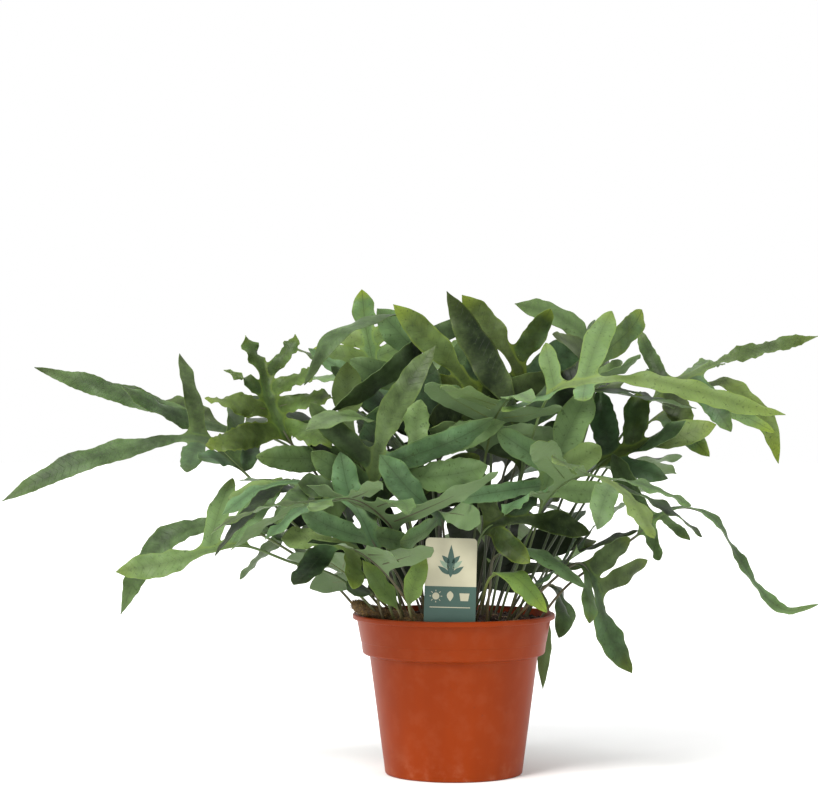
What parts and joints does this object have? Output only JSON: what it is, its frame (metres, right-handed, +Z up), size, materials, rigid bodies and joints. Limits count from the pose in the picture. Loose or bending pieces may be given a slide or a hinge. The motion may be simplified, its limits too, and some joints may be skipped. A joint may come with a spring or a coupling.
{
  "type": "potted fern",
  "caption": "Leafy blue-green fern with long lobed fronds on wiry stalks, in a tapered round plastic nursery pot with a plant label.",
  "frame": {"origin": "centre of the pot's flat underside", "axes": "+X to the right and +Z up as seen from the front, -Y towards the viewer"},
  "size_m": [0.7739, 0.5214, 0.4572],
  "materials": {
    "pot": "semi-gloss terracotta-coloured injection-moulded plastic",
    "soil": "damp, crumbly dark brown potting soil",
    "label": "thin printed plastic card, cream above and dark green below",
    "rhizome": "furry golden-brown scales",
    "leaf": "waxy blue-green leaf, paler below, with a thin midrib",
    "young_leaf": "soft yellow-green young leaf"
  },
  "bodies": {
    "root": {"pot": "pot", "label": "label", "frond_left_long": "leaf", "frond_left_upper": "leaf", "frond_left_low": "leaf", "frond_right_top": "leaf", "frond_right_front": "leaf", "frond_right_droop": "leaf", "frond_right_ribbon": "leaf", "frond_right_hang": "leaf", "frond_rim_right": "leaf", "frond_back_hang": "leaf", "frond_front_drape": "young_leaf", "frond_front_right": "leaf", "frond_trident": "leaf", "frond_crisp_middle": "leaf", "frond_center_dark": "leaf", "frond_center_strap": "leaf", "frond_top_dark": "leaf", "frond_top_crisp": "leaf", "frond_top_arch_left": "leaf", "frond_top_yellow": "leaf", "frond_top_right_arch": "leaf", "frond_left_curly": "young_leaf", "frond_left_mid": "leaf", "frond_left_wide": "leaf", "frond_center_low": "leaf", "frond_young_left": "young_leaf", "frond_young_front": "young_leaf", "frond_right_dark": "leaf", "frond_left_light": "leaf", "frond_front_left": "leaf", "frond_center_strap_back": "leaf", "frond_top_center": "leaf", "frond_right_mass": "leaf", "frond_back_low": "leaf", "frond_back_left": "leaf", "frond_left_fall": "leaf", "frond_crown_1": "leaf", "frond_crown_2": "leaf", "frond_crown_3": "leaf", "frond_crown_4": "leaf", "frond_crown_5": "leaf", "frond_crown_6": "leaf", "frond_crown_7": "leaf", "frond_middle_1": "leaf", "frond_middle_2": "leaf", "frond_middle_3": "leaf", "frond_middle_4": "leaf", "frond_middle_5": "leaf", "frond_middle_6": "leaf", "frond_middle_7": "leaf", "frond_skirt_1": "leaf", "frond_skirt_2": "leaf", "frond_skirt_3": "leaf", "frond_skirt_4": "leaf", "frond_skirt_5": "leaf", "rhizome_left": "rhizome", "rhizome_front": "rhizome", "soil": "soil"}
  },
  "joints": []
}
